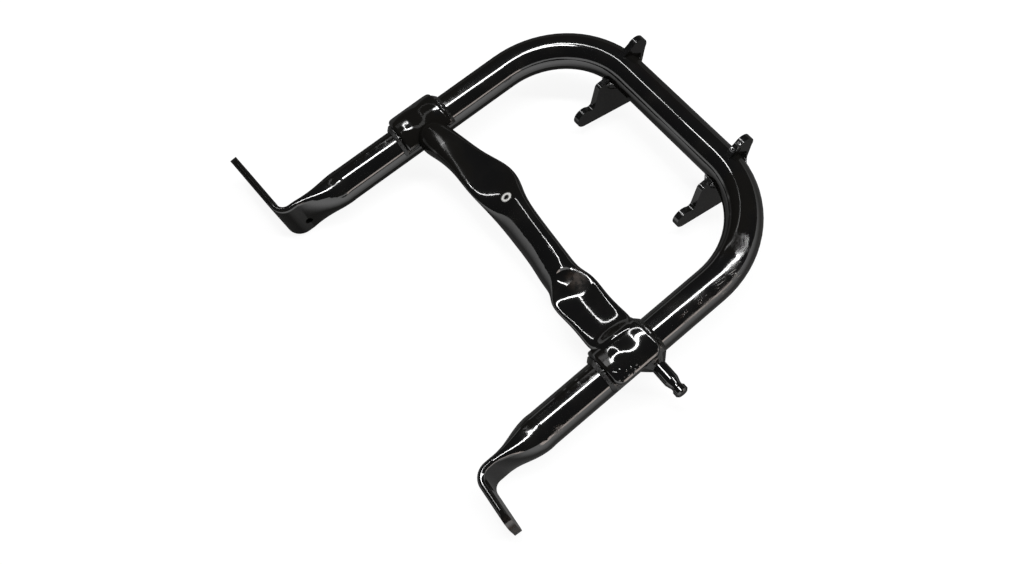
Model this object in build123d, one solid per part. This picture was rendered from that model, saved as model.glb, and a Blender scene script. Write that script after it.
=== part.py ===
from build123d import *
from math import asin, atan2, cos, degrees, hypot, pi, radians, sin, sqrt
import os

# Centre stand of a small motorcycle, lying on its back as it is photographed.
# Sizes are in millimetres. While it is modelled, the bent tube lies in the XY plane,
# its closed end on the X axis and its legs running toward -Y. The -X side carries the
# longer foot, the +X side the spring pin. Everything is turned to its rest at the end.

# Main tube, one piece bent into a U
tube_diameter = 27.2
tube_wall = 2.3
corner_half_width = 118.6    # where a leg's axis meets the axis of the closed end
corner_radius = 70           # axis radius of both large bends
leg_splay = 1.8              # degrees that each leg leans outward

# Leg ends, pressed flat and bent outward into feet, as distances from the corner point
press_start = 226            # the tube is still round here
press_end = 257              # the walls lie against each other from here on
press_bulk = 0.6             # share of the tube's thickness left half way
press_lead = 8               # round stretch that the pressed shape runs out of
press_end_round = 0.75       # end radius half way, as a share of half the thickness
fold_distance = 271          # corner of the foot, where leg and sole lines meet
blade_thickness = 5.5
fold_inner_radius = 7
slit_gap = 0.9               # what stays open between the pressed walls
slit_end = 262
foot_length_left = 73
foot_length_right = 40.5
foot_slope = 3               # degrees that a foot points away from the closed end
foot_corner_radius = 12
drain_diameter = 6
drain_distance = 257.3
drain_drop = 6.4             # below the tube's mid plane

# Ears that hang the stand on its pivot bolt; places are Y and Z from the tube's axis
ear_thickness = 5
ear_spacing = 117            # between the mid planes of the two ears
pivot_diameter = 12
pivot_y = 4
pivot_z = -30
boss_radius = 15
stop_radius = 7.75           # inner stop lobe
stop_center = (-41.3, -23.75)
lobe_radius = 7.6            # outer lobe, behind the tube
lobe_center = (15.9, 12.6)
ear_dip = (-32.5, -19.8)     # hollow corner beside the stop lobe
ear_hump = (-24, -0.2)       # raised corner beside the tube
ear_waist = (16.6, -7.5)     # hollow between the outer lobe and the boss
ear_corner_radius = 3
ear_waist_radius = 7
ear_bead = 4.4               # leg of the fillet weld
ear_bead_turn = 190          # degrees of the tube that it follows
ear_bead_shift = 10          # how far it is turned toward the outer lobe

# Cross tube, pressed in two places, its ends shaped to saddle the legs
bar_diameter = 25.4
bar_wall = 2.0
bar_y = -144                 # where its ends cross the legs
bar_height = 9               # axis above the mid plane of the legs
bar_squareness = 0.9         # how much squarer than an ellipse a pressed section is
bar_slope_loss = 4           # width that a section loses where it slopes
crimp_radius = 14            # ball nose of the press tool that bit into the round stretch
crimp_depth = 0.5            # how deep it went under the pressed face
crimp_back = 0.4             # from where the pressed face starts toward the middle
saddle_thickness = 6.8
saddle_length = 39
saddle_outer_angle = 30      # degrees above the level, on the outer side of the leg
saddle_inner_angle = 150     # where it ends on the inner side
saddle_corner = 7
saddle_edge = 2.4
saddle_shift_left = -1.5     # how far a saddle's middle lies from the end of the bar
saddle_shift_right = 0
saddle_bead = 3.6

# Spring pin, welded to the outer side of the +X leg
pin_inset = 7.5              # of its axis, from the closed end's side of the saddle
pin_reach = 166.8            # end of its head, from the stand's middle
pin_radius = 5.4
pin_neck_radius = 3.9
pin_head_radius = 4.9
pin_head_length = 5.6
pin_head_round = 1.2
pin_neck_length = 1.6
pin_taper_length = 4.5
pin_bead = 6

tube_radius = tube_diameter / 2
bore_radius = tube_radius - tube_wall
fold_radius = fold_inner_radius + blade_thickness / 2
bar_radius = bar_diameter / 2
pin_y = bar_y + saddle_shift_right + saddle_length / 2 - pin_inset
LEFT, RIGHT = -1, 1
SIDE_NAMES = {LEFT: "left", RIGHT: "right"}

# Places in the list of the cross tube's stations
ARM_BORE = slice(1, 3)       # the bore is open in the left arm
ROUND_BORE = slice(5, 9)     # and in the round stretch, and pressed shut elsewhere
FACE_START = ROUND_BORE.stop + 1    # here the right pressed face starts


def leg_direction(side):
    return Vector(side * sin(radians(leg_splay)), -cos(radians(leg_splay)), 0)


def leg_normal(side):
    return Vector(side * cos(radians(leg_splay)), sin(radians(leg_splay)), 0)


def leg_point(side, distance):
    return Vector(side * corner_half_width, 0, 0) + leg_direction(side) * distance


def leg_plane(side, distance):
    # Across a leg: sketch X runs toward +X, sketch Y upward, on both sides
    toward_x = leg_normal(side) * side
    return Plane(origin=leg_point(side, distance), x_dir=toward_x, z_dir=leg_direction(side))


def leg_distance(y):
    return -y / cos(radians(leg_splay))


def leg_x(y):
    # How far from the middle a leg's axis is at this Y
    return leg_point(RIGHT, leg_distance(y)).X


def foot_length(side):
    return foot_length_left if side == LEFT else foot_length_right


def foot_direction(side):
    return Vector(side * cos(radians(foot_slope)), -sin(radians(foot_slope)), 0)


def foot_tip(side):
    return leg_point(side, fold_distance) + foot_direction(side) * foot_length(side)


def pressed_width(diameter, thickness):
    # A round tube pressed to this thickness keeps its perimeter and gets this wide
    return pi * (diameter - thickness) / 2 + thickness


def round_outline(diameter):
    # The circle is cut at the same places as the pressed outlines that it turns into
    arcs = [CenterArc((0, 0), diameter / 2, 45 + 90 * quarter, 90) for quarter in range(4)]
    return make_face(Wire(arcs))


def oval_outline(thickness, width):
    # Closed outline of four tangent arcs, half way between round and flat
    half_t, half_w = thickness / 2, width / 2
    end_radius = half_t * press_end_round
    side_radius = (half_t ** 2 + half_w ** 2 - 2 * half_w * end_radius) / (2 * (half_t - end_radius))
    rise = half_w - end_radius
    shift = side_radius - half_t
    spread = degrees(atan2(shift, rise))
    arcs = [
        CenterArc((0, rise), end_radius, 90 - spread, 2 * spread),
        CenterArc((shift, 0), side_radius, 90 + spread, 180 - 2 * spread),
        CenterArc((0, -rise), end_radius, 270 - spread, 2 * spread),
        CenterArc((-shift, 0), side_radius, 270 + spread, 180 - 2 * spread),
    ]
    return make_face(Wire(arcs))


def flat_outline(thickness, width):
    half_t, rise = thickness / 2, (width - thickness) / 2
    edges = [
        CenterArc((0, rise), half_t, 0, 180),
        Line((-half_t, rise), (-half_t, -rise)),
        CenterArc((0, -rise), half_t, 180, 180),
        Line((half_t, -rise), (half_t, rise)),
    ]
    return make_face(Wire(edges))


def press_sections(side, diameter, flat_thickness):
    # From a round section over an oval one to a flat one
    middle = (press_start + press_end) / 2
    half_way = diameter * press_bulk + flat_thickness * (1 - press_bulk)
    flat_width = pressed_width(diameter, flat_thickness)
    return [
        leg_plane(side, press_start - press_lead) * round_outline(diameter),
        leg_plane(side, press_start) * round_outline(diameter),
        leg_plane(side, middle) * oval_outline(half_way, pressed_width(diameter, half_way)),
        leg_plane(side, press_end) * flat_outline(flat_thickness, flat_width),
    ]


def foot_path(side):
    corner = leg_point(side, fold_distance)
    return FilletPolyline(leg_point(side, press_end), corner, foot_tip(side), radius=fold_radius)


def foot_corners(side, width):
    # Cutter that rounds the two corners at the tip of a foot
    along = foot_direction(side)
    tip_plane = Plane(origin=foot_tip(side), x_dir=along, z_dir=along.cross(Vector(0, 0, 1)))
    radius = foot_corner_radius
    center = Pos(-radius, width / 2 - radius)
    block = radius + blade_thickness
    corner = center * Rectangle(block, block, align=(Align.MIN, Align.MIN))
    corner -= center * Circle(radius)
    corner += mirror(corner, about=Plane.XZ)
    return extrude(tip_plane * corner, amount=blade_thickness, both=True)


def leg_end(side):
    width = pressed_width(tube_diameter, blade_thickness)
    press = loft(press_sections(side, tube_diameter, blade_thickness))
    section = leg_plane(side, press_end) * flat_outline(blade_thickness, width)
    blade = sweep(section, path=foot_path(side))
    return press + (blade - foot_corners(side, width))


def bent_tube(radius):
    # Solid rod along the round stretch of the main tube, both large bends in it
    start = press_start - press_lead
    corners = [Vector(side * corner_half_width, 0, 0) for side in (LEFT, RIGHT)]
    path = FilletPolyline(leg_point(LEFT, start), *corners, leg_point(RIGHT, start),
                          radius=corner_radius)
    return sweep(leg_plane(LEFT, start) * Circle(radius), path=path)


def tube_bore():
    bore = bent_tube(bore_radius)
    width = pressed_width(2 * bore_radius, slit_gap)
    for side in (LEFT, RIGHT):
        bore += loft(press_sections(side, 2 * bore_radius, slit_gap))
        slit = leg_plane(side, press_end) * flat_outline(slit_gap, width)
        bore += extrude(slit, amount=slit_end - press_end)
    return bore


def drain_hole():
    # Through the inner wall of the pressed -X leg, into the gap between the walls
    start = leg_point(LEFT, drain_distance) - Vector(0, 0, drain_drop)
    plane = Plane(origin=start, z_dir=-leg_normal(LEFT))
    return extrude(plane * Circle(drain_diameter / 2), amount=blade_thickness)


def make_frame_tube():
    outside = bent_tube(tube_radius) + leg_end(LEFT) + leg_end(RIGHT)
    return outside - tube_bore() - drain_hole()


def boss_tangent():
    # Straight lower edge of an ear, touching the stop lobe and the boss
    reach = hypot(pivot_y - stop_center[0], pivot_z - stop_center[1])
    slope = atan2(pivot_z - stop_center[1], pivot_y - stop_center[0])
    slope -= asin((boss_radius - stop_radius) / reach)
    below = Vector(sin(slope), -cos(slope))
    return Vector(*stop_center) + below * stop_radius, Vector(pivot_y, pivot_z) + below * boss_radius


def ear_outline():
    stop_low, boss_low = boss_tangent()
    body = Polygon(
        stop_low, boss_low, (pivot_y, pivot_z), (pivot_y + boss_radius, pivot_z), ear_waist,
        (lobe_center[0] + lobe_radius, lobe_center[1]), lobe_center,
        (lobe_center[0], lobe_center[1] + lobe_radius), (0, tube_radius), (0, 0),
        (-tube_radius, ear_hump[1]), ear_hump, ear_dip,
        (stop_center[0], stop_center[1] + stop_radius), align=None)
    outline = body + Pos(*stop_center) * Circle(stop_radius)
    outline += Pos(pivot_y, pivot_z) * Circle(boss_radius)
    outline += Pos(*lobe_center) * Circle(lobe_radius)
    rounds = ((ear_dip, ear_corner_radius), (ear_hump, ear_corner_radius),
              (ear_waist, ear_waist_radius))
    for point, radius in rounds:
        corner = outline.vertices().sort_by_distance((*point, 0))[0]
        outline = fillet(corner, radius)
    return outline


def make_ear(side, tube):
    # Sketch X runs along the stand's Y, sketch Y upward, the normal along +X
    start = side * ear_spacing / 2 - ear_thickness / 2
    plane = Plane(origin=(start, 0, 0), x_dir=(0, 1, 0), z_dir=(1, 0, 0))
    outline = ear_outline() - Pos(pivot_y, pivot_z) * Circle(pivot_diameter / 2)
    plates = extrude(plane * outline, amount=ear_thickness) - tube
    return plates.solids().sort_by(SortBy.VOLUME)[-1]


def make_ear_weld(side, face, tube):
    # Fillet weld in the corner between the tube and one face of an ear
    at = side * ear_spacing / 2 + face * ear_thickness / 2
    toe = at + face * (ear_bead + tube_wall)
    section = Plane.XZ * Polygon(
        (at, bore_radius), (toe, bore_radius), (at, tube_radius + ear_bead), align=None)
    bead = revolve(section, axis=Axis.X, revolution_arc=ear_bead_turn)
    start = 180 - ear_bead_turn / 2 + ear_bead_shift
    return Rot(X=start) * bead - tube


def bar_stations():
    # Where the cross tube changes its section: the share of the way from the middle to
    # a leg, how far its middle lies from the ends' line in Y and from the axis's height,
    # the thickness it is pressed to, how much higher it gets toward the closed end for
    # each millimetre across, and how deep its upper wall is folded in
    round_thickness = bar_diameter
    return [
        (-0.85, 0.2, 0, round_thickness, 0, 0),
        (-0.72, 3.1, 0, round_thickness - 2, -0.08, 1.5),
        (-0.56, 6.6, -0.8, 19, -0.18, 2.5),
        (-0.385, 9.3, 0, 7, -0.16, 0.5),
        (-0.27, 9.3, 0.3, 9.5, -0.05, 0.3),
        (-0.12, 7.2, 0, 20, 0.3, 0),
        (0.06, 5.2, 0, 23.6, 0.42, 0),
        (0.23, 3.6, 0, 23.6, 0.42, 0),
        (0.37, 1.9, 0, 22.6, 0.3, 0),
        (0.44, 1.4, 0, 21, 0.15, 0),
        (0.51, 0.9, 0, 10.5, 0, 2.4),
        (0.66, 0.7, -0.2, 10, 0, 4.2),
        (0.8, 0.9, 0.5, 9, 0, 2.2),
        (0.87, 0.9, 2.5, 9.5, 0, 0),
        (0.945, 1, 4.3, 10, 0, 0),
    ]


def bar_section(station, inset=0):
    # Smooth closed outline: a circle where the tube is round, squarer where it is pressed
    share, shift_y, shift_z, thickness, slope, fold = station
    middle = Vector(share * leg_x(bar_y), bar_y + shift_y, bar_height + shift_z)
    half_h = thickness / 2 - inset
    half_w = pressed_width(bar_diameter, thickness) / 2 - inset - bar_slope_loss * slope ** 2
    power = 2 / (2 + bar_squareness * (1 - thickness / bar_diameter))
    count = 12
    points = []
    for step in range(count):
        across, up = sin(2 * pi * step / count), -cos(2 * pi * step / count)
        sink = fold * (1 - across ** 2) ** 2 if up > 0 else 0
        across = half_w * abs(across) ** power * (1 if across > 0 else -1)
        up = half_h * abs(up) ** power * (1 if up > 0 else -1) - sink
        points.append(middle + Vector(0, across, up + slope * across))
    spacing = [step / count for step in range(count + 1)]
    return make_face(Wire([Edge.make_spline(points, periodic=True, parameters=spacing)]))


def nose_section(station, depth):
    # The round -X end runs out in a dome; depth is a share of the tube's radius
    inset = bar_radius * (1 - sqrt(1 - depth ** 2))
    return Pos(-bar_radius * depth, 0, 0) * bar_section(station, inset)


def saddle_plane(side):
    shift = saddle_shift_left if side == LEFT else saddle_shift_right
    return leg_plane(side, leg_distance(bar_y + shift))


def sector(side, inner, outer, start, end):
    # Part of a ring about the leg, angles counted upward from the outer level
    if side == LEFT:
        start, end = 180 - end, 180 - start
    corners = [(0, 0)]
    for angle in (start, (start + end) / 2, end):
        corners.append((2 * outer * cos(radians(angle)), 2 * outer * sin(radians(angle))))
    ring = Circle(outer) - Circle(inner)
    return saddle_plane(side) * (ring & Polygon(*corners, align=None))


def saddle_cap(side):
    outer = tube_radius + saddle_thickness
    ring = sector(side, tube_radius, outer, saddle_outer_angle, saddle_inner_angle)
    cap = extrude(ring, amount=saddle_length / 2, both=True)
    short_edges = cap.edges().filter_by(
        lambda edge: edge.geom_type == GeomType.LINE and edge.length < saddle_length / 2)
    outer_corners = short_edges.sort_by(lambda edge: -side * edge.center().X)[:2]
    cap = fillet(outer_corners, saddle_corner)
    rim = cap.faces().sort_by(lambda face: -face.area)[0].edges()
    return fillet(rim, saddle_edge)


def leg_cylinder(side):
    middle = leg_plane(side, leg_distance(bar_y))
    return extrude(middle * Circle(tube_radius), amount=saddle_length, both=True)


def crimp():
    # Bite of the press tool's nose, a crescent where the round stretch ends
    share, shift_y, shift_z, thickness = bar_stations()[FACE_START][:4]
    low = bar_height + shift_z + thickness / 2 - crimp_depth
    center = (share * leg_x(bar_y) - crimp_back, bar_y + shift_y, low + crimp_radius)
    return Pos(*center) * Sphere(crimp_radius)


def make_crossbar():
    stations = bar_stations()
    nose = [nose_section(stations[0], depth) for depth in (0.83, 0.55)]
    body = loft(nose + [bar_section(station) for station in stations]) - crimp()
    body += [saddle_cap(side) for side in (LEFT, RIGHT)]
    body -= [leg_cylinder(side) for side in (LEFT, RIGHT)]
    body = body.solids().sort_by(SortBy.VOLUME)[-1]
    for stretch in (ARM_BORE, ROUND_BORE):
        body -= loft([bar_section(station, inset=bar_wall) for station in stations[stretch]])
    return body


def make_crossbar_weld(side, crossbar, pin):
    # Skirt of weld metal along the edges of a saddle, lying on the leg
    swell = degrees(saddle_bead / tube_radius)
    ring = sector(side, tube_radius, tube_radius + saddle_bead,
                  saddle_outer_angle - swell, saddle_inner_angle + swell)
    skirt = extrude(ring, amount=saddle_length / 2 + saddle_bead, both=True)
    rim = skirt.faces().sort_by(lambda face: -face.area)[0].edges()
    skirt = chamfer(rim, saddle_bead * 0.7)
    skirt -= crossbar
    return skirt - pin if side == RIGHT else skirt


def pin_axis():
    return Axis((0, pin_y, 0), (1, 0, 0))


def make_spring_pin():
    neck_end = pin_reach - pin_head_length
    neck_start = neck_end - pin_neck_length
    start = corner_half_width
    points = [
        (start, 0), (start, pin_radius), (neck_start - pin_taper_length, pin_radius),
        (neck_start, pin_neck_radius), (neck_end, pin_neck_radius),
        (neck_end + pin_head_round, pin_head_radius),
        (pin_reach - pin_head_round, pin_head_radius),
        (pin_reach, pin_head_radius - pin_head_round), (pin_reach, 0),
    ]
    profile = Plane(origin=(0, pin_y, 0)) * Polygon(*points, align=None)
    return revolve(profile, axis=pin_axis()) - leg_cylinder(RIGHT)


def make_pin_weld(neighbours):
    at = leg_x(pin_y) + tube_radius
    points = [(at - pin_bead, pin_radius), (at - pin_bead, pin_radius + pin_bead),
              (at, pin_radius + pin_bead), (at + pin_bead, pin_radius)]
    profile = Plane(origin=(0, pin_y, 0)) * Polygon(*points, align=None)
    bead = revolve(profile, axis=pin_axis()) - leg_cylinder(RIGHT)
    for piece in neighbours:
        bead -= piece
    return bead.solids().sort_by(lambda solid: -solid.center().X)[0]


def rest_tilt():
    # Turn about X that lays both ears and the lower edges of the feet on one floor
    foot_middle = fold_distance + foot_length_left / 2 * sin(radians(foot_slope))
    back = pivot_y + foot_middle * cos(radians(leg_splay))
    drop = (blade_thickness - pressed_width(tube_diameter, blade_thickness)) / 2 - pivot_z
    gap = boss_radius - blade_thickness / 2
    return degrees(asin(gap / hypot(back, drop)) + atan2(drop, back))


def build():
    tube = bent_tube(tube_radius)
    crossbar = make_crossbar()
    pin = make_spring_pin()
    pieces = {"frame_tube": make_frame_tube(), "crossbar": crossbar, "spring_pin": pin}
    for side in (LEFT, RIGHT):
        name = SIDE_NAMES[side]
        pieces[f"ear_{name}"] = make_ear(side, tube)
        pieces[f"ear_{name}_weld_outer"] = make_ear_weld(side, side, tube)
        pieces[f"ear_{name}_weld_inner"] = make_ear_weld(side, -side, tube)
        pieces[f"crossbar_weld_{name}"] = make_crossbar_weld(side, crossbar, pin)
    pieces["spring_pin_weld"] = make_pin_weld([pin, crossbar, pieces["crossbar_weld_right"]])
    return pieces


lay_down = Rot(X=rest_tilt()) * Pos(0, -pivot_y, -pivot_z)
os.makedirs("parts", exist_ok=True)
for node, shape in build().items():
    export_step(lay_down * shape, f"parts/{node}.step")
print("rest tilt", round(rest_tilt(), 3))
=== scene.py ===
from math import pi, radians

import bpy
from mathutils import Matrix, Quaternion, Vector


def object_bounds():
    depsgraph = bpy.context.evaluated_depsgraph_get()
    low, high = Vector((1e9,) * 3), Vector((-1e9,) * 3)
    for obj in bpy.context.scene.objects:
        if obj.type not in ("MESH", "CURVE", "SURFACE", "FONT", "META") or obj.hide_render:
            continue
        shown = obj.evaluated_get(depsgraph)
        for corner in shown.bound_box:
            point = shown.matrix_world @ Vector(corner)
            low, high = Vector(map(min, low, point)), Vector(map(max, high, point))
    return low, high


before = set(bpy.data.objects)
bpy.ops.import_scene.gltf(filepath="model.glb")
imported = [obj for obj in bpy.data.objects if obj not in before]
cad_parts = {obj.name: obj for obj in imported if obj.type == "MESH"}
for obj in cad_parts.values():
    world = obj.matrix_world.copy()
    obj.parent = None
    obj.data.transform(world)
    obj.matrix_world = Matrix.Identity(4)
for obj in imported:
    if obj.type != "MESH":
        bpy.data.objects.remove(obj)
cad_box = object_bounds()

# The welded centre stand of a motorcycle, in gloss black enamel, lying on a white floor.
# Lengths are in metres, in the frame of the solids.

# Camera, at the photograph's place: the whole stand is seen from above one foot
CAMERA_PLACE = (0.34713, -0.30776, 0.68526)
CAMERA_TURN = (0.874012, 0.177073, 0.155271, 0.425017)
CAMERA_LENS = 37.08
CAMERA_NEAREST = 0.05

# One long strip lamp hangs high over the stand and draws the lines on the legs
STRIP_CENTRE = (0.841, 0.866, 2.2)
STRIP_SIZE = (3.95, 0.22)
STRIP_HEADING = radians(43.3)
STRIP_RADIANCE = 23

# Two shorter strips lie along X and draw the lines on the crossbar and the closed end
SIDE_STRIP_CENTRE = (-0.60, -0.10, 2.2)
SIDE_STRIP_SIZE = (0.8, 0.08)
SIDE_STRIP_RADIANCE = 26
FAR_STRIP_CENTRE = (-2.35, -0.05, 2.2)
FAR_STRIP_SIZE = (2.6, 0.08)
FAR_STRIP_RADIANCE = 15

# Soft warm panel low on the +X side, which draws the thin second line on the tubes
LOW_PANEL_CENTRE = (3.0, 0.45, 0.35)
LOW_PANEL_SIZE = (1.6, 0.5)
LOW_PANEL_RADIANCE = 2.0
LOW_PANEL_COLOUR = (1.0, 0.82, 0.72)

# Floor, and a low round wall about it, so that no view from the side looks past the floor
ROOM_GREY = 0.03
FLOOR_SIZE = 20
WALL_RADIUS = 8
WALL_HEIGHT = 3.2
WALL_FACETS = 64

# Both are of one white card. It lights the stand as plain white. Where it is seen, it glows
# instead over a darker grey that takes the shadow, and glows a little more far away
CARD_WHITE = 0.8
SHADOW_GREY = 0.16
NEAR_GLOW = 0.91
FAR_GLOW = 1.0
GLOW_RISE_STARTS = 0.5
GLOW_RISE_ENDS = 2.5

# Colours of the enamel, of what shows where it is rubbed, and a near-white painted glint
PAINT_BLACK = (0.0040, 0.0040, 0.0042)
PAINT_DUSTY = (0.0085, 0.0080, 0.0072)
PRIMER_BROWN = (0.060, 0.040, 0.028)
# Near-white for the crossbar's ring, which is a painted glint
PAINTED_GLINT_WHITE = (0.85, 0.85, 0.82)
RUST_RED = (0.11, 0.050, 0.038)
BARE_STEEL = (0.22, 0.20, 0.17)

# Gloss of the enamel, and the roughness that mottling, dull places and wear add to it
PAINT_IOR = 1.9
GLOSS_ROUGHNESS = 0.075
MOTTLED_ROUGHNESS = 0.03
DULL_ROUGHNESS = 0.30
WORN_ROUGHNESS = 0.25

# The skin mirrors less as it turns away from the eye, from the first slant to the second
SLANT_STARTS = 0.16
SLANT_ENDS = 0.50
RIM_MATT = 0.91

# Heights of a relief are in millimetres
MILLIMETRE = 0.001

# Places on the tube where it is scuffed or rubbed
BEND_SCUFF = ((0.1172, -0.0450, 0.0388), (0.1135, -0.0405, 0.0400))
RED_RUB = ((0.1321, -0.1020, 0.0293), (0.1309, -0.0880, 0.0316))
PALE_RUB = ((0.1300, -0.0720, 0.0325), (0.1275, -0.0590, 0.0345))
LEG_RUB = ((0.1362, -0.2180, 0.0183), (0.1365, -0.2060, 0.0190))
FOOT_TIPS = ((0.1670, -0.2776, 0.0047), (0.1665, -0.2785, 0.0175), (-0.2000, -0.2790, 0.0047))

# Places on the tube that are matt, only because the photograph shows no lamp in them:
# inside the +X bend, and beside the legs' lines
INNER_BEND = ((0.0800, -0.0160, 0.0422), (0.0920, -0.0250, 0.0412),
              (0.1010, -0.0370, 0.0396), (0.1080, -0.0490, 0.0382))
LEFT_LEG_SIDE = ((-0.1250, -0.1254, 0.0323), (-0.1245, -0.1180, 0.0328),
                 (-0.1270, -0.1780, 0.0275), (-0.1285, -0.1860, 0.0265),
                 (-0.1290, -0.1940, 0.0257), (-0.1290, -0.2040, 0.0248),
                 (-0.1290, -0.2140, 0.0240), (-0.1265, -0.2327, 0.0225))
RIGHT_LEG_SIDE = ((0.1195, -0.1755, 0.0275), (0.1190, -0.1835, 0.0265),
                  (0.1180, -0.1930, 0.0255), (0.1180, -0.2030, 0.0246),
                  (0.1205, -0.2325, 0.0219))

# The feet begin this far out from the middle, and above this height they are matt too
FOOT_STARTS = (0.134, 0.140)
FOOT_EDGE_STARTS = (0.0220, 0.0237)

# Places on the crossbar and on its two saddle caps. The left arm, the left cap but for its
# two glints, and the right cap's end are matt for the same reason
# Centre of a small crater whose ring is raised in the relief and painted near-white as a glint
CRATER_GLINT_CENTRE = (-0.0215, -0.1428, 0.0345)
SCOOP = (0.0605, -0.1435, 0.0300)
LEFT_ARM = ((-0.0980, -0.1540, 0.0370), (-0.0800, -0.1540, 0.0345), (-0.0640, -0.1570, 0.0315))
LEFT_CAP = ((-0.1172, -0.1400, 0.0365), (-0.1190, -0.1600, 0.0360))
LEFT_CAP_GLINTS = ((-0.1151, -0.1381, 0.0365), (-0.1203, -0.1635, 0.0354))
LEFT_CAP_HOLLOW = (-0.1172, -0.1500, 0.0368)
LEFT_CAP_RISE = (-0.1190, -0.1660, 0.0350)
RIGHT_CAP_HOLLOW = (0.1235, -0.1440, 0.0380)
RIGHT_CAP_RISE = (0.1230, -0.1560, 0.0370)
RIGHT_CAP_END = ((0.1235, -0.1700, 0.0350), (0.1190, -0.1672, 0.0352))
RIGHT_CAP_SPATTER = ((0.1300, -0.1740, 0.0266), (0.1345, -0.1660, 0.0300),
                     (0.1370, -0.1560, 0.0300), (0.1380, -0.1440, 0.0300))

# Place of the swirl on the right ear
EAR_SWIRL = (0.0585, 0.0010, 0.0470)


class Signal:
    """A shader value or colour; operators between values add Math nodes."""

    def __init__(self, finish, socket):
        self.finish = finish
        self.socket = socket

    def math(self, operation, *operands):
        settings = {"operation": operation}
        return self.finish.node("ShaderNodeMath", settings, dict(enumerate(operands)))

    def __add__(self, other):
        return self.math("ADD", self, other)

    def __sub__(self, other):
        return self.math("SUBTRACT", self, other)

    def __rsub__(self, other):
        return self.math("SUBTRACT", other, self)

    def __mul__(self, other):
        return self.math("MULTIPLY", self, other)

    __radd__ = __add__
    __rmul__ = __mul__

    def larger(self, other):
        return self.math("MAXIMUM", self, other)

    def ramp(self, low, high):
        """0 up to low, 1 from high, smooth between; low may be the larger number."""
        settings = {"interpolation_type": "SMOOTHSTEP"}
        values = {"Value": self, "From Min": low, "From Max": high}
        return self.finish.node("ShaderNodeMapRange", settings, values)


class Finish:
    """One material, with the few node calls that the finishes below share."""

    def __init__(self, name):
        self.material = bpy.data.materials.new(name)
        self.material.use_nodes = True
        self.tree = self.material.node_tree
        self.shader = self.tree.nodes["Principled BSDF"]
        self.place = self.node("ShaderNodeTexCoord", output="Object")

    def node(self, kind, settings=None, inputs=None, output=0):
        made = self.tree.nodes.new(kind)
        for name, value in (settings or {}).items():
            setattr(made, name, value)
        for name, value in (inputs or {}).items():
            self.feed(made.inputs[name], value)
        return Signal(self, made.outputs[output])

    def feed(self, socket, value):
        if isinstance(value, Signal):
            self.tree.links.new(value.socket, socket)
        elif socket.type == "RGBA" and len(value) == 3:
            socket.default_value = (*value, 1)
        else:
            socket.default_value = value

    def noise(self, scale, detail=2, roughness=0.5, place=None):
        """Clouds of noise; scale is how many lie along a metre."""
        values = {"Vector": place or self.place, "Scale": scale, "Detail": detail,
                  "Roughness": roughness}
        return self.node("ShaderNodeTexNoise", None, values)

    def cells(self, scale):
        """Distance to the nearest of many scattered points, in shares of their spacing."""
        return self.node("ShaderNodeTexVoronoi", None, {"Vector": self.place, "Scale": scale})

    def stretched(self, scales):
        """The place, scaled along each axis before a texture reads it."""
        return self.node("ShaderNodeVectorMath", {"operation": "MULTIPLY"},
                         {0: self.place, 1: scales})

    def axis(self, name):
        """The place along one axis of the stand, X, Y or Z."""
        return self.node("ShaderNodeSeparateXYZ", None, {"Vector": self.place}, output=name)

    def away(self, centre):
        """Distance in metres from a point of the stand."""
        return self.node("ShaderNodeVectorMath", {"operation": "DISTANCE"},
                         {0: self.place, 1: centre}, output="Value")

    def spot(self, centre, radius):
        """1 at a point of the stand, 0 beyond the radius."""
        return self.away(centre).ramp(radius, 0)

    def spots(self, centres, radius):
        """1 at each of several points, 0 beyond the radius of them all."""
        found = self.spot(centres[0], radius)
        for centre in centres[1:]:
            found = found.larger(self.spot(centre, radius))
        return found

    def ring(self, centre, radius, width):
        """1 on a circle about a point, 0 beyond the width on both sides of it."""
        away = self.away(centre)
        return away.ramp(radius - width, radius) * away.ramp(radius + width, radius)

    def mix(self, factor, first, second):
        """A colour mix, whose factor and colours are the node's inputs 0, 6 and 7."""
        settings = {"data_type": "RGBA"}
        return self.node("ShaderNodeMix", settings, {0: factor, 6: first, 7: second}, output=2)

    def mix_shaders(self, factor, first, second):
        return self.node("ShaderNodeMixShader", None, {0: factor, 1: first, 2: second})

    def diffuse(self, colour):
        return self.node("ShaderNodeBsdfDiffuse", None, {"Color": colour})

    def relief(self, height):
        """Normal bent by a height that is given in millimetres."""
        values = {"Height": height, "Distance": MILLIMETRE}
        return self.node("ShaderNodeBump", None, values, output="Normal")

    def set(self, **sockets):
        """Feeds the material's main shader; an underscore stands for a space in a name."""
        for name, value in sockets.items():
            self.feed(self.shader.inputs[name.replace("_", " ")], value)

    def show(self, surface):
        """Makes a shader the one that the material shows."""
        output = self.tree.nodes["Material Output"]
        self.tree.links.new(surface.socket, output.inputs["Surface"])


def spray(paint, height, dull, worn, wear_and_glint_colour=PRIMER_BROWN, matt=0, rim=RIM_MATT):
    """Gloss black enamel over a relief; dull, worn, matt and rim are masks from 0 to 1; worn
    also carries the crossbar's painted glint.
    """
    mottled = paint.noise(45, detail=4).ramp(0.45, 0.8)
    black = paint.mix(mottled, PAINT_BLACK, PAINT_DUSTY)
    roughness = (GLOSS_ROUGHNESS + mottled * MOTTLED_ROUGHNESS + dull * DULL_ROUGHNESS
                 + worn * WORN_ROUGHNESS)
    paint.set(
        Base_Color=paint.mix(worn, black, wear_and_glint_colour),
        Roughness=roughness,
        IOR=PAINT_IOR,
        Normal=paint.relief(height),
    )
    take_back_gloss(paint, paint.mix(worn, PAINT_DUSTY, wear_and_glint_colour), matt, rim)
    return paint.material


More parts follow.
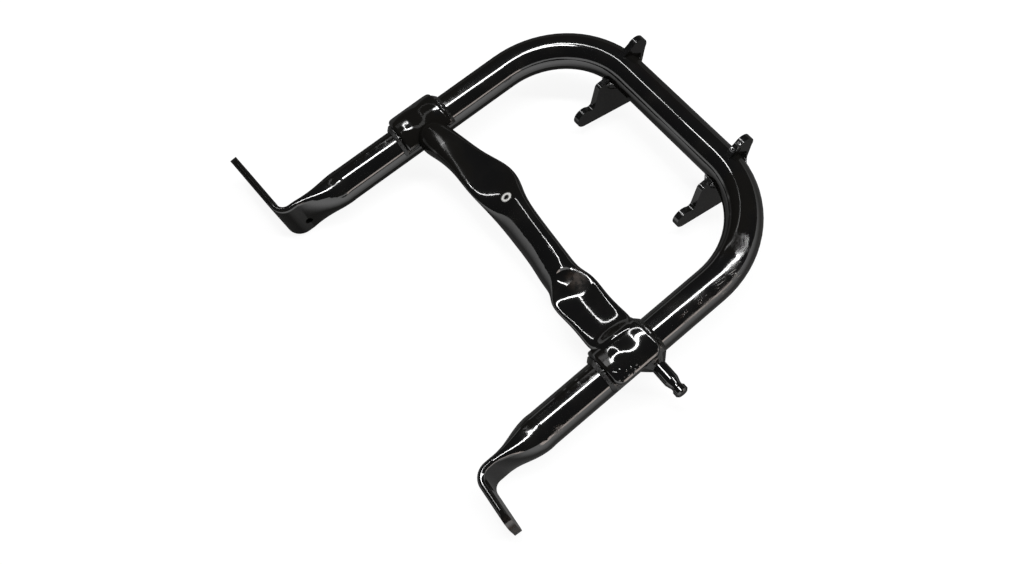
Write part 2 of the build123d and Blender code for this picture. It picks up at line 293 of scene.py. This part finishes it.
def take_back_gloss(paint, colour, matt, rim):
    """Matt places, and skin that is seen at a slant, scatter more and mirror less."""
    slant = paint.node("ShaderNodeLayerWeight", None, {"Blend": 0.5}, output="Facing")
    matt_share = (slant.ramp(SLANT_STARTS, SLANT_ENDS) * rim).larger(matt)
    gloss = Signal(paint, paint.shader.outputs[0])
    paint.show(paint.mix_shaders(matt_share, gloss, paint.diffuse(colour)))


def skin(paint):
    """Height of the sprayed skin: slow waves under a fine orange peel."""
    return paint.noise(55, detail=1) * 0.10 + paint.noise(420, detail=1) * 0.004


def tube_paint():
    """The bent tube: scuffed and rubbed on its +X side, with bare foot tips."""
    paint = Finish("tube_enamel")
    bend_scuff = paint.spots(BEND_SCUFF, radius=0.0085)
    red_rub = paint.spots(RED_RUB, radius=0.0115)
    pale_rub = paint.spots(PALE_RUB, radius=0.0105)
    leg_rub = paint.spots(LEG_RUB, radius=0.0075)
    rubbed = red_rub.larger(pale_rub).larger(leg_rub)
    along_legs = paint.stretched((900, 90, 900))
    scrape = paint.noise(1, detail=4, roughness=0.7, place=along_legs).ramp(0.56, 0.66)
    flakes = paint.noise(650, detail=3, roughness=0.7)
    height = skin(paint) + bend_scuff * flakes * 0.40 - rubbed * scrape * 0.05
    tip_wear = paint.spots(FOOT_TIPS, radius=0.0100) * paint.noise(500).ramp(0.3, 0.7)
    worn = rubbed * scrape * 0.8 + tip_wear * 0.7
    colour = paint.mix(pale_rub, paint.mix(red_rub, PRIMER_BROWN, RUST_RED), BARE_STEEL)
    return spray(paint, height, rubbed * 0.4, worn, colour, tube_matt(paint), tube_rim(paint))


def tube_matt(paint):
    """Matt inside the +X bend, along the legs' sides and on the feet's upper edges."""
    bend = paint.spots(INNER_BEND, radius=0.0160).ramp(0, 0.5) * 0.9
    leg_sides = paint.spots(LEFT_LEG_SIDE + RIGHT_LEG_SIDE, radius=0.0065).ramp(0, 0.35) * 0.95
    across = paint.axis("X")
    near, far = FOOT_STARTS
    feet = (across.ramp(-near, -far) * 0.93).larger(across.ramp(near, far) * 0.6)
    foot_edges = feet * paint.axis("Z").ramp(*FOOT_EDGE_STARTS)
    return bend.larger(leg_sides).larger(foot_edges)


def tube_rim(paint):
    """The -X side of the tube mirrors a little less at a slant than the +X side."""
    return 0.89 + paint.axis("X").ramp(0.05, -0.05) * 0.07


def bar_paint():
    """The crossbar: dented caps, a painted glint ring, a brown, dull scoop and weld spatter.
    """
    paint = Finish("crossbar_enamel")
    # A ring round a small crater: raised in the relief, and a painted glint in near-white
    ring = paint.ring(CRATER_GLINT_CENTRE, radius=0.0030, width=0.0017)
    scoop = paint.spot(SCOOP, radius=0.0105)
    arm = paint.spots(LEFT_ARM, radius=0.0180)
    left_dents = (paint.spot(LEFT_CAP_HOLLOW, radius=0.0135) * -0.9
                  + paint.spot(LEFT_CAP_RISE, radius=0.0050) * 0.25)
    right_dents = (paint.spot(RIGHT_CAP_HOLLOW, radius=0.0100) * -0.7
                   + paint.spot(RIGHT_CAP_RISE, radius=0.0080) * 0.5)
    spatter = paint.cells(330).ramp(0.34, 0.10) * paint.spots(RIGHT_CAP_SPATTER, radius=0.0085)
    scoop_grain = scoop * paint.noise(700, detail=2)
    height = (skin(paint) + ring * 0.35 + left_dents + right_dents + spatter * 0.35
              + scoop_grain * 0.10)
    dull = scoop * 0.9 + arm * 0.35 + ring * 0.5
    scoop_wear = scoop * paint.noise(300, detail=3).ramp(0.3, 0.6) * 0.6
    # Where the ring lies, the colour is a painted glint in near-white
    colour = paint.mix(ring.ramp(0, 0.5), PRIMER_BROWN, PAINTED_GLINT_WHITE)
    return spray(paint, height, dull, scoop_wear.larger(ring), colour, bar_matt(paint, arm))


def bar_matt(paint, arm):
    """Matt on the -X cap but for two glints, on the left arm and on the +X cap's end."""
    left_cap = paint.spots(LEFT_CAP, radius=0.0220).ramp(0, 0.25)
    glints = paint.spots(LEFT_CAP_GLINTS, radius=0.0055).ramp(0, 0.5)
    right_end = paint.spots(RIGHT_CAP_END, radius=0.0080).ramp(0, 0.4) * 0.95
    cap_and_arm = (left_cap * (1 - glints) * 0.985).larger(arm.ramp(0, 0.6) * 0.90)
    return cap_and_arm.larger(right_end)


def weld_paint():
    """Weld beads: coarse ripples with small blisters, all of it rather matt."""
    paint = Finish("weld_enamel")
    ripples = paint.noise(190, detail=2) * 0.9 + paint.noise(600, detail=2) * 0.18
    blisters = paint.cells(420).ramp(0.30, 0.08) * 0.30
    dull = paint.noise(90).ramp(0.4, 0.7) * 0.3
    worn = paint.noise(130, detail=3).ramp(0.62, 0.80) * 0.35
    return spray(paint, ripples + blisters, dull, worn, matt=0.6)


def ear_paint():
    """Flat ears: fine grain in the plate, and a swirl mark on the right one."""
    paint = Finish("ear_enamel")
    swirl = paint.ring(EAR_SWIRL, radius=0.0032, width=0.0016) * 0.6
    grain = paint.noise(700, detail=3, roughness=0.6)
    height = skin(paint) + grain * 0.02 + swirl
    return spray(paint, height, grain.ramp(0.3, 0.7) * 0.5, grain.ramp(0.68, 0.8) * 0.4)


def pin_paint():
    """The turned pin, which lies along X: fine lines run round it."""
    paint = Finish("pin_enamel")
    turned = paint.noise(1, detail=3, place=paint.stretched((1400, 25, 25)))
    height = skin(paint) + turned * 0.02
    return spray(paint, height, turned.ramp(0.4, 0.8) * 0.3, turned.ramp(0.70, 0.85) * 0.3)


def dress_nodes():
    """Each solid gets its enamel; every one that isn't named here is a weld."""
    tube, bar, weld = tube_paint(), bar_paint(), weld_paint()
    ear, pin = ear_paint(), pin_paint()
    paints = {"frame_tube": tube, "crossbar": bar, "spring_pin": pin,
              "ear_left": ear, "ear_right": ear}
    for name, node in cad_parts.items():
        node.data.materials.clear()
        node.data.materials.append(paints.get(name, weld))


def make_camera():
    data = bpy.data.cameras.new("camera")
    data.lens = CAMERA_LENS
    data.clip_start = CAMERA_NEAREST
    data.clip_end = FLOOR_SIZE
    camera = bpy.data.objects.new("camera", data)
    camera.location = CAMERA_PLACE
    camera.rotation_mode = "QUATERNION"
    camera.rotation_quaternion = Quaternion(CAMERA_TURN)
    bpy.context.scene.collection.objects.link(camera)
    bpy.context.scene.camera = camera


def panel_lamp(name, centre, size, radiance, turn, colour=(1, 1, 1)):
    """A one-sided rectangular lamp, its power worked out from its radiance."""
    data = bpy.data.lights.new(name, "AREA")
    data.shape = "RECTANGLE"
    data.size, data.size_y = size
    data.energy = radiance * pi * size[0] * size[1]
    data.color = colour
    lamp = bpy.data.objects.new(name, data)
    lamp.location = centre
    lamp.rotation_mode = "QUATERNION"
    lamp.rotation_quaternion = turn
    bpy.context.scene.collection.objects.link(lamp)


def make_lamps():
    """The strips face straight down, and the low panel faces the stand."""
    unturned = Quaternion((1, 0, 0, 0))
    strip_turn = Quaternion((0, 0, 1), STRIP_HEADING)
    panel_lamp("strip", STRIP_CENTRE, STRIP_SIZE, STRIP_RADIANCE, strip_turn)
    panel_lamp("side_strip", SIDE_STRIP_CENTRE, SIDE_STRIP_SIZE, SIDE_STRIP_RADIANCE, unturned)
    panel_lamp("far_strip", FAR_STRIP_CENTRE, FAR_STRIP_SIZE, FAR_STRIP_RADIANCE, unturned)
    low_turn = (-Vector(LOW_PANEL_CENTRE)).to_track_quat("-Z", "Y")
    panel_lamp("low_panel", LOW_PANEL_CENTRE, LOW_PANEL_SIZE, LOW_PANEL_RADIANCE, low_turn,
               LOW_PANEL_COLOUR)


def make_room():
    """A faint grey light from all sides."""
    world = bpy.data.worlds.new("room")
    world.use_nodes = True
    background = world.node_tree.nodes["Background"]
    background.inputs["Color"].default_value = (ROOM_GREY, ROOM_GREY, ROOM_GREY, 1)
    bpy.context.scene.world = world


def make_floor():
    """The floor lies under the stand, and the wall stands half below it."""
    foot = (0, 0, cad_box[0].z)
    white = white_card()
    bpy.ops.mesh.primitive_plane_add(size=FLOOR_SIZE, location=foot)
    set_backdrop(bpy.context.object, "floor", white)
    bpy.ops.mesh.primitive_cylinder_add(radius=WALL_RADIUS, depth=WALL_HEIGHT,
                                        vertices=WALL_FACETS, end_fill_type="NOTHING",
                                        location=foot)
    set_backdrop(bpy.context.object, "far_wall", white)


def set_backdrop(sheet, name, white):
    sheet.name = name
    sheet.data.materials.append(white)


def white_card():
    """White card: plain white as a light on the stand, brighter where it is seen itself."""
    card = Finish("white_sheet")
    rise = card.away((0, 0, 0)).ramp(GLOW_RISE_STARTS, GLOW_RISE_ENDS)
    glow_level = NEAR_GLOW + rise * (FAR_GLOW - NEAR_GLOW)
    to_camera, mirrored, refracted = [
        card.node("ShaderNodeLightPath", output=name)
        for name in ("Is Camera Ray", "Is Glossy Ray", "Is Transmission Ray")]
    seen = to_camera.larger(mirrored).larger(refracted)
    plain = card.diffuse((CARD_WHITE,) * 3)
    shadow = card.diffuse((SHADOW_GREY,) * 3)
    glow = card.node("ShaderNodeEmission", None, {"Color": (1, 1, 1), "Strength": glow_level})
    bright = card.node("ShaderNodeAddShader", None, {0: shadow, 1: glow})
    card.show(card.mix_shaders(seen, plain, bright))
    return card.material


def set_view():
    bpy.context.scene.view_settings.view_transform = "Standard"


make_camera()
make_lamps()
make_room()
make_floor()
dress_nodes()
set_view()
